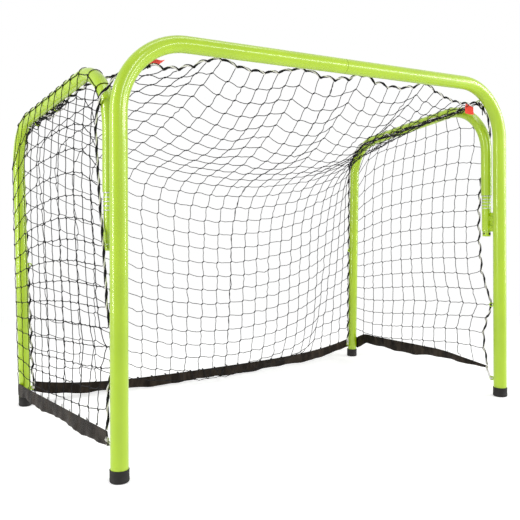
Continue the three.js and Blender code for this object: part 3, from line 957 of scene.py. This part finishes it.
# points from one side of the wing's tube round it to the other, past the direction `over`
def roundTube(first, last, centre, along, over):
    radius = wing["radius"] + sideNet["lay"]
    e2 = unit(over - along * np.dot(over, along))
    e1 = np.cross(e2, along)
    angles = [math.atan2(np.dot(p - centre, e1), np.dot(p - centre, e2)) for p in (first, last)]
    spans = [np.linalg.norm(p - centre - along * np.dot(p - centre, along)) for p in (first, last)]
    shift = [np.dot(p - centre, along) for p in (first, last)]
    out = []
    for t in np.arange(1, sideNet["turnPoints"] + 1) / (sideNet["turnPoints"] + 1):
        a = angles[0] + (angles[1] - angles[0]) * t
        r = radius + max(spans[0] - radius, 0) * (1 - t) ** 4 + max(spans[1] - radius, 0) * t ** 4
        out.append(centre + along * (shift[0] + (shift[1] - shift[0]) * t)
                   + r * (e2 * math.cos(a) + e1 * math.sin(a)))
    return np.array(out)


# the line's points beside some others, and its direction there
def beside(points, line):
    dense = spaced(line, 600)
    way = unit(np.gradient(dense, axis=0))
    near = np.argmin(np.linalg.norm(dense[None] - points[:, None], axis=2), axis=1)
    return dense[near], way[near]


# a function that pushes points out of the tube along a line
def keeperOff(line):
    a, d = line[:-1], np.diff(line, axis=0)
    span = (d * d).sum(1)

    def keepOff(points, loose):
        flat = points.reshape(-1, 3)
        t = np.clip(((flat[:, None] - a) * d).sum(2) / span, 0, 1)
        away = flat[:, None] - (a + d * t[..., None])
        far = np.linalg.norm(away, axis=2)
        near = far.argmin(1)
        each = np.arange(len(flat))
        away, far = away[each, near], far[each, near][:, None]
        push = np.maximum(wing["radius"] + sideNet["keepOff"] - far, 0) * away / np.maximum(far, 1e-6)
        points += push.reshape(points.shape) * loose

    return keepOff


def hangSideNet(label, side):
    columns, rows = sideNet["columns"], sideNet["rows"]
    line = wingLine(side, 20)
    inner = insideWing(side, line)
    onBar = line[:, 1] > frontY + sideNet["frontTop"][label]
    kept = np.where(onBar & (line[:, 2] > backNet["legEnd"]))[0]
    start, centre, axis, turn, _ = bendParts(wingCorners(side), wing["bends"])[1]
    middleOfBend = np.array(centre + Matrix.Rotation(turn / 2, 3, axis) @ (start - centre))
    corner = kept[np.argmin(np.linalg.norm(line[kept] - middleOfBend, axis=1))]

    # where the rope inside holds the columns and rows, and where these first touch the tube
    barInner = spaced(inner[kept[0]:corner + 1], columns + 1)[:-1]
    leg = spaced(np.concatenate([inner[corner:kept[-1] + 1], [behindPosts(side, backNet["foot"])]]), 401)
    share = np.linspace(0, 1, rows + 1)[1:]
    legAt, legInner = (
        leg[np.round((share + drop * share * (1 - share)) * 400).astype(int)] for drop in sideNet["drops"])
    barCentre, barWay = beside(barInner, line)
    legCentre, legWay = beside(legAt, line)
    reach = wing["radius"] + sideNet["lay"]
    barOuter = barCentre + unit(np.array([side, 0, 0.1])) * reach
    legOuter = legCentre + unit(np.array([side, 0.35, 0])) * reach

    # the four edges of the net outside the wing
    foots = np.interp(np.linspace(0, 1, columns), *zip(*sideNet["hemTops"][label]))
    heights = np.linspace(barOuter[0, 2], foots[0], rows)
    freeLine = np.array([freeEdge(label, side, z) for z in heights])
    freeLine[0], legOuter[0] = barOuter[0], barOuter[-1]
    deep = np.linspace(freeLine[-1, 1], legOuter[-1, 1], columns)
    hemLine = np.array([[side * outerX(y, z), y, z] for y, z in zip(deep, foots)])
    hemLine[0], hemLine[-1] = freeLine[-1], legOuter[-1]
    split = sideNet["split"]
    net = HangingNet(patchBetween(barOuter, hemLine, freeLine, legOuter), split)
    net.settle(sideNet["settle"], sideNet["across"] / split, sideNet["down"] / split, keeperOff(line))

    up, backwards = np.array([0, 0, 1.0]), np.array([0, 1.0, 0])
    overBar = [np.concatenate([[inside], roundTube(inside, outside, centre, way, up)])
               for inside, outside, centre, way in zip(barInner, net.knots[:, 0], barCentre, barWay)]
    roundLeg = [np.concatenate([roundTube(outside, inside, centre, way, backwards), [inside]])
                for inside, outside, centre, way in zip(legInner, net.knots[-1], legCentre, legWay)]
    roundLeg[0] = roundLeg[0][:0]      # the topmost ends on the bar
    return net, overBar, roundLeg


# makes the nets and their front ropes, and returns the line of each hem
def addSideNets():
    hems = {}
    last, rows = sideNet["columns"] - 1, sideNet["rows"] - 1
    for label, side in sides.items():
        net, overBar, roundLeg = hangSideNet(label, side)
        place, lean = knotPlaces(net.knots, 31 + side)
        place[:, 0] = net.knots[:, 0]
        across = rowLines(place, lean, net.rows, range(rows), (0, last), 31 + side)
        across = [np.concatenate([line, roundLeg[j]]) for j, line in enumerate(across)]
        down = columnLines(place, lean, net.columns, range(last + 1), (0, rows), 41 + side)
        down = [np.concatenate([overBar[i], line, line[-1:] - (0, 0, sideNet["intoHem"])])
                for i, line in enumerate(down)]
        piece = twineNet("net_side_" + label, across + down[1:], place[1:, :-1], lean[1:, :-1])
        fitted(piece, "black_twine", label + "_wing", "side_net_" + label)
        edge = scalloped(net.knots[0, 1:], (0, -1, 0), rope["edgeRise"])
        start = [behindPosts(side, at) for at in sideNet["corner"] + sideNet["turnOut"][label]]
        line = np.concatenate([rounded(start + [edge[0]])[:-1], edge])
        front = lashedRope("rope_front_" + label, line, rope["pitch"], 7)
        followCorner(front, label, "front_edge_rope_" + label)
        hems[label] = net.knots[:, -1]
    return hems


sideHems = addSideNets()
print("side nets made")


# hems: a woven band folded over the net's lower edge

hem = {
    "back": 0.030, "side": 0.034, "half": 0.0016, "thick": 0.0005, "wave": 0.0032, "pinch": 0.30,
    "pinched": 0.16, "backDrop": 0.004, "sideDrop": 0.003,
    # around the fold, as shares of half and height: inner top, inner side, bottom, outer side, outer top
    "section": (
        (-0.3, 0), (-0.8, 0.1), (-1, 0.35), (-1.05, 0.65), (-0.9, 0.9), (0, 1.0),
        (0.9, 0.9), (1.05, 0.65), (1, 0.35), (0.8, 0.1), (0.3, 0)),
    "swells": ((23, 0.05), (61, 0.04)),      # rate along the band and share of its height
    "ripples": ((55, 2.2, 0.5), (131, -3.1, 0.35), (19, 0, 0.8)),      # rate, lean and share of the wave
}


def foldedBand(name, topLine, count, seed, height, pinch=0):
    line = spaced(topLine, count)
    run = np.linspace(0, fullLength(line), count)
    tangent = unit(np.gradient(line, axis=0))
    side = unit(np.cross(tangent, [0, 0, 1.0]))
    down = unit(np.cross(tangent, side))
    down *= -np.sign(down[:, 2:3])
    rng = np.random.default_rng(seed)
    phases = rng.uniform(0, 6.28, 6)
    swells = (size * np.sin(run * rate + phase) for (rate, size), phase in zip(hem["swells"], phases))
    depth = height * sum(swells, 1)
    if pinch:
        depth *= hem["pinched"] + (1 - hem["pinched"]) * np.clip(run / pinch, 0, 1) ** 0.8
    verts, faces, uvs = [], [], []
    for i in range(count):
        for across, fall in hem["section"]:
            ripple = sum(np.sin(run[i] * rate + phase + fall * lean) * size
                         for (rate, lean, size), phase in zip(hem["ripples"], phases[2:]))
            wave = hem["wave"] * ripple * fall
            verts.append(line[i] + side[i] * (across * hem["half"] + wave) + down[i] * depth[i] * fall)
    width = len(hem["section"])
    for i in range(count - 1):
        for k in range(width - 1):
            here = i * width + k
            faces.append((here, here + 1, here + width + 1, here + width))
            first, last = (hem["section"][m][1] * height for m in (k, k + 1))
            uvs += [(run[i], first), (run[i], last), (run[i + 1], last), (run[i + 1], first)]
    mesh = bpy.data.meshes.new(name)
    mesh.from_pydata([tuple(v) for v in verts], [], faces)
    mesh.uv_layers.new(name="UVMap").data.foreach_set("uv", np.array(uvs, float).ravel())
    piece = newObject(name, mesh)
    weld(piece)
    applied(piece, "SOLIDIFY", thickness=hem["thick"], offset=0)
    smooth(piece, 50)
    dress(piece, "black_webbing")
    return piece, run[-1]


def addHems():
    line = hemKnots(201)
    line[:, 2] -= hem["backDrop"]
    for label, part in (("left", slice(0, 101)), ("right", slice(100, None))):
        band, length = foldedBand("hem_back_" + label, line[part], 160, 5, hem["back"])
        followFold(band, label, "back_hem")
        "net_back_" + label
    for label, side in sides.items():
        line = rounded(sideHems[label], 8)
        line[:, 2] -= hem["sideDrop"]
        pinch = hem["pinch"] if label == "right" else 0
        band, length = foldedBand("hem_side_" + label, line, 140, 8 + side, hem["side"], pinch)
        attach(band, label + "_wing")
        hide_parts("side_hem_" + label)
        "net_side_" + label


addHems()
print("hems made")


# ties: white cord from each side hem to the ring on the post and from the back hem's ends
# to the rear legs, and knots at the net's upper corners

tie = {
    "cord": 0.0011, "footCord": 0.00143, "knot": 0.0034, "turns": 3.2, "pitch": 0.0021, "lean": (0, 0.3, 1),
    "tipDrop": {"left": 0.020, "right": 0.007}, "tail": (0, 0.004, -0.014),
    "footInset": 0.0058, "footHeight": 0.048,
    "near": (0.560, 0.030, 0.860), "black": 0.0014, "pale": 0.0015,
}


def coilAt(place, axis, radius, turns, pitch):
    axis = Vector(axis).normalized()
    out = axis.orthogonal().normalized()
    return np.array([tuple(Vector(place) + axis * pitch * (k / 12 - turns / 2)
                           + Matrix.Rotation(2 * math.pi * k / 12, 3, axis) @ out * radius)
                     for k in range(int(turns * 12))])


def knotAt(place, axis):
    return coilAt(place, axis, tie["knot"], tie["turns"], tie["pitch"])


def hangingLine(first, last, sag, aside=0.0):
    t = np.linspace(0, 1, 9)[:, None]
    line = np.array(first) + (np.array(last) - np.array(first)) * t
    line[:, 2] -= sag * 4 * (t * (1 - t))[:, 0]
    line[:, 0] += aside * 4 * (t * (1 - t))[:, 0]
    return line


def cornerKnots(side):
    eye, near = behindPosts(side, cornerRing), behindPosts(side, tie["near"])
    black = [
        coilAt(eye, (side, 0, 0.2), 0.0042, 2.2, 0.0036), coilAt(near, (side, 0.5, 0), 0.0046, 3.2, 0.0032),
        hangingLine(eye, near, 0.009, side * 0.003),
        hangingLine(near, near + (side * 0.016, 0.012, -0.020), 0.002),
    ]
    pale = [
        hangingLine(eye, near, -0.006, side * 0.004),
        coilAt((eye + near) / 2, (side, 0.4, 0), 0.0040, 2.5, 0.0034),
    ]
    return ("knot_corner_", black, "black", "black_twine"), ("knot_white_", pale, "pale", "edge_rope")


def addTies():
    for label, side in sides.items():
        ring = behindPosts(side, (*postRing["place"], postRing["lower"]))
        tip = sideHems[label][0] - np.array([0, 0, tie["tipDrop"][label]])
        cord = twineMesh("tie_hem_" + label, [
            hangingLine(ring, tip, 0.003, 0.002), hangingLine(ring, tip, 0.006, -0.002),
            knotAt(ring, tie["lean"]), knotAt(tip, unit(tip - ring)),
            hangingLine(tip, tip + tie["tail"], 0, 0.002),
        ], tie["cord"], 8)
        fitted(cord, "white_cord", "front", "hem_tie_" + label)
        legInside = wing["footX"] - wing["radius"] - tie["footInset"]
        foot = behindPosts(side, (legInside, wing["depth"], tie["footHeight"]))
        held = back.knots[backEdge[side], -1]
        loop = twineMesh("tie_foot_" + label, [
            hangingLine(foot, held, 0.002, 0.003), hangingLine(foot, held, -0.002, -0.003),
            knotAt(foot, tie["lean"]),
        ], tie["footCord"], 8)
        fitted(loop, "white_cord", label + "_wing")
        for name, lines, radius, slot in cornerKnots(side):
            knot = twineMesh(name + label, lines, tie[radius], 8)
            dress(knot, slot)
            followCorner(knot, label)


addTies()
print("ties made")


# tabs: a folded scrap of red fabric at each upper corner of the net
# corners from the upper left, clockwise: across from the middle of the tab, depth, height
tab = {
    "left": (
        (-0.016, 0.004, 0.8745), (0.012, 0.003, 0.8755), (0.022, -0.015, 0.884), (-0.011, -0.013, 0.888)),
    "right": (
        (-0.015, 0.000, 0.868), (0.017, -0.001, 0.858), (0.018, -0.001, 0.8365), (-0.018, 0.000, 0.8385)),
    "bow": 0.004, "thick": 0.0011, "edge": 0.0003, "cells": 14,
}


def addTabs():
    for label in sides:
        x, y, _ = middleOf("corner_tab_" + label)
        deselectAll()
        bpy.ops.mesh.primitive_grid_add(x_subdivisions=tab["cells"], y_subdivisions=tab["cells"], size=1)
        piece = nameNew("tab_" + label)
        a, b, c, d = (np.array((x, y, 0)) + corner for corner in tab[label])
        out = unit(np.cross(b - a, d - a))
        for vertex in piece.data.vertices:
            u, v = vertex.co.x + 0.5, 0.5 - vertex.co.y
            flat = a * (1 - u) * (1 - v) + b * u * (1 - v) + c * u * v + d * (1 - u) * v
            wave = math.sin(math.pi * u) * (0.6 + 0.4 * v) + 0.25 * math.sin(7 * u + 3 * v)
            vertex.co = Vector(flat + out * tab["bow"] * wave)
        applied(piece, "SOLIDIFY", thickness=tab["thick"], offset=0)
        applied(piece, "BEVEL", width=tab["edge"], segments=2)
        smooth(piece, 50)
        fitted(piece, "red_fabric", "front", "corner_tab_" + label)


addTabs()
print("tabs made")


# hinges: a sleeve with five rings on two lugs welded to the post, and below it
# the narrower end of the spigot with its rivet, which turn with the wing

hinge = {
    "radius": 0.0140, "bore": 0.0114, "bottom": 0.4882, "top": 0.5968,
    "rings": (0.5590, 0.5682, 0.5774, 0.5866, 0.5958), "ring": 0.0136, "ringThick": 0.0012,
    "postSide": 0.0165, "overlap": 0.0020,
    "web": {"span": (0.4886, 0.5460), "half": 0.0017, "bevel": 0.0008},
    "lugs": {"spans": ((0.4920, 0.5060), (0.5210, 0.5350)), "half": 0.005, "bevel": 0.0012},
    "bead": {"radius": 0.0052, "thick": 0.0015, "stretch": 1.35, "depth": 0.0195, "gap": 0.0002},
    "end": {"bottom": 0.4736, "top": 0.4876, "radius": 0.0121, "bore": 0.0111},
    "rivet": {"height": 0.4822, "radius": 0.0027, "back": 0.0006, "aim": -0.05},
}


def sleeveProfile():
    r, bore, low, high = (hinge[key] for key in ("radius", "bore", "bottom", "top"))
    return [
        (bore, low), (r - 0.0018, low), (r - 0.0005, low + 0.0005), (r, low + 0.0018), (r, low + 0.006),
        (r - 0.0003, low + 0.0064), (r - 0.0003, low + 0.0072), (r, low + 0.0076),      # groove
        (r, high - 0.0012), (r - 0.0006, high - 0.0003), (r - 0.0012, high), (bore, high), (bore, low),
    ]


def endProfile():
    r, bore, low, high = (hinge["end"][key] for key in ("radius", "bore", "bottom", "top"))
    return [
        (0.002, low), (r - 0.0016, low), (r - 0.0004, low + 0.0005), (r, low + 0.0016), (r, high - 0.0006),
        (r - 0.0004, high), (bore, high), (bore, low + 0.0003), (0.002, low + 0.0003), (0.002, low),
    ]


# a block between the post and the sleeve
def linkPiece(name, x, y, span, shape):
    low = (x - shape["half"], frontY + hinge["postSide"], span[0])
    high = (x + shape["half"], y - hinge["radius"] + hinge["overlap"], span[1])
    return boxPiece(name, low, high, shape["bevel"])


def weldBead(x, depth, z):
    shape = hinge["bead"]
    bead = ringPiece("bead", (x, depth, z), shape["radius"], shape["thick"], (math.pi / 2, 0, 0))
    startEdit(bead)
    bpy.ops.transform.resize(value=(1, 1, shape["stretch"]), center_override=(x, depth, z))
    endEdit()
    return bead


def addHinges():
    bead, rivetShape = hinge["bead"], hinge["rivet"]
    for label, side in sides.items():
        x, y = side * postX, frontY + wing["setback"]
        parts = [turned("hinge_" + label, sleeveProfile(), (x, y), capped=False)]
        parts.append(linkPiece("web", x, y, hinge["web"]["span"], hinge["web"]))
        for span in hinge["lugs"]["spans"]:
            parts.append(linkPiece("lug", x, y, span, hinge["lugs"]))
            for depth in (frontY + bead["depth"], y - hinge["radius"] - bead["gap"]):
                parts.append(weldBead(x, depth, sum(span) / 2))
        whole = joined("hinge_" + label, *parts)
        smooth(whole)
        fitted(whole, "lime_paint", "front", "hinge_bracket_" + label)
        rings = [ringPiece("ring", (x, y, z), hinge["ring"], hinge["ringThick"]) for z in hinge["rings"]]
        coil = joined("hinge_rings_" + label, *rings)
        smooth(coil, 60)
        fitted(coil, "bare_steel", "front")
        end = turned("spigot_end_" + label, endProfile(), (x, y), capped=False)
        fitted(end, "lime_paint", label + "_wing")
        r = rivetShape["radius"]
        rivet = turned("rivet_" + label, [
            (0.0006, 0.0016), (r * 0.6, 0.0013), (r * 0.93, 0.0007), (r, 0), (r, -0.0008)], (0, 0), 20)
        place = (x - side * hinge["end"]["radius"], y - rivetShape["back"], rivetShape["height"])
        rivet.data.transform(turnedTo((0, 1, 0), (0, 0, side), (-side, rivetShape["aim"], 0), place))
        fitted(rivet, "black_plastic", label + "_wing")


addHinges()
print("hinges made")


# rings of bent rod on the posts and the rear legs, each with a bead of weld at its root

eyelet = {"radius": 0.0052, "rod": 0.0016, "gap": 0.0006, "bead": (0.0016, 0.0012), "beadOut": 0.0004}


def addEyelet(node, root, out, tubeRadius, body):
    name, up, across = node.replace("_eyelet", "_ring"), (0, 0, 1), np.cross(out, (0, 0, 1))
    ring = ringPiece(name, (0, 0, 0), eyelet["radius"], eyelet["rod"])
    reach = tubeRadius + eyelet["radius"] + eyelet["gap"]
    ring.data.transform(turnedTo(out, up, across, root + out * reach))
    bead = ringPiece("bead", (0, 0, 0), *eyelet["bead"])
    bead.data.transform(turnedTo(up, across, out, root + out * (tubeRadius + eyelet["beadOut"])))
    whole = joined(name, ring, bead)
    weld(whole)
    smooth(whole, 60)
    fitted(whole, "lime_paint", body, node)


def addEyelets():
    for label, side in sides.items():
        for kind in ("upper_", "lower_"):
            node = "post_eyelet_" + kind + label
            z = middleOf(node)[2]
            root = np.array([side * postX, frontY, z])
            out = unit(behindPosts(side, (*postRing["place"], z)) - root)
            addEyelet(node, root, out, post["radius"], "front")
            node = "leg_eyelet_" + kind + label
            z = middleOf(node)[2]
            along = np.clip((z - wing["foot"]) / (wing["rear"] - wing["foot"]), 0, 1)
            root = behindPosts(side, (wing["footX"] + wing["splay"] * along, wing["depth"], z))
            addEyelet(node, root, np.array([-side, 0.0, 0.0]), wing["radius"], label + "_wing")


addEyelets()
print("eyelets made")


# stage: a floor that fades to white, a white world and soft lamps

stage = {
    "size": 60, "height": -0.0005, "fade": (0.9, 2.0),
    "floor": (0.84, 0.84, 0.84, 1), "glow": (0.5, 0.5, 0.5, 1), "world": 0.30, "aim": (0, 0, 0.4),
}
lamps = {
    "left_strip": {"place": (-3.0, 0.1, 1.1), "size": (0.18, 2.4), "power": 54},
    "right_strip": {"place": (3.2, -2.0, 1.1), "size": (0.18, 2.4), "power": 54},
    "panel": {"place": (2.4, -3.3, 1.35), "size": (2.6, 0.45), "power": 44},
    "front": {"place": (-0.6, -3.1, 2.0), "size": (0.5, 1.6), "power": 26},
    "overhead": {"place": (0.0, -0.6, 3.4), "size": (2.6, 0.6), "power": 22},
}


def addStage():
    deselectAll()
    bpy.ops.mesh.primitive_plane_add(size=stage["size"], location=(0, 0, stage["height"]))
    floor = nameNew("floor")
    finish = Finish("floor_white")
    x, y = finish.parts(finish.place())[:2]
    start, end = stage["fade"]
    far = finish.node("MapRange", values={0: (x * x + y * y) ** 0.5, 1: start, 2: end, 3: 0.0, 4: 1.0})
    finish.set(
        Base_Color=finish.mix(far, stage["floor"], black), Roughness=0.95, Specular_IOR_Level=0,
        Emission_Color=finish.mix(far, stage["glow"], white), Emission_Strength=1)
    floor.data.materials.append(finish.material)


# the world looks white, and lights the scene with less
def addWorld(scene):
    world = bpy.data.worlds.new("studio")
    world.use_nodes = True
    scene.world = world
    world.node_tree.nodes.clear()
    sky = Nodes(world.node_tree)
    rays = ("Is Camera Ray", "Is Glossy Ray", "Is Transmission Ray")
    camera, glossy, through = (sky.node("LightPath", output=ray) for ray in rays)
    lit = sky.node("Background", values={"Color": white, "Strength": stage["world"]})
    shown = sky.node("Background", values={"Color": white})
    chosen = sky.node("MixShader", values={0: camera.most(glossy).most(through), 1: lit, 2: shown})
    sky.node("OutputWorld", values={0: chosen})


def addLight():
    scene = bpy.context.scene
    addWorld(scene)
    for name, lamp in lamps.items():
        data = bpy.data.lights.new(name, "AREA")
        data.shape = "RECTANGLE"
        data.size, data.size_y = lamp["size"]
        data.energy = lamp["power"]
        light = newObject(name, data)
        light.location = lamp["place"]
        aim = Vector(stage["aim"]) - light.location
        light.rotation_euler = aim.to_track_quat("-Z", "Y").to_euler()
    scene.view_settings.view_transform = "Standard"


# CAD nodes that are left showing take these finishes
nodeSlots = {
    "crossbar_hook_": "lime_paint", "eyelet": "lime_paint", "crossbar_sleeve": "bare_steel",
    "hinge_spigot": "bare_steel", "hinge_rivet": "black_plastic",
}


def dressNodes():
    for piece in bpy.data.objects:
        for part, slot in nodeSlots.items():
            if part in piece.name and piece.material_slots:
                piece.material_slots[0].material = finishes[slot]


addStage()
addLight()
dressNodes()
print("stage and light set")
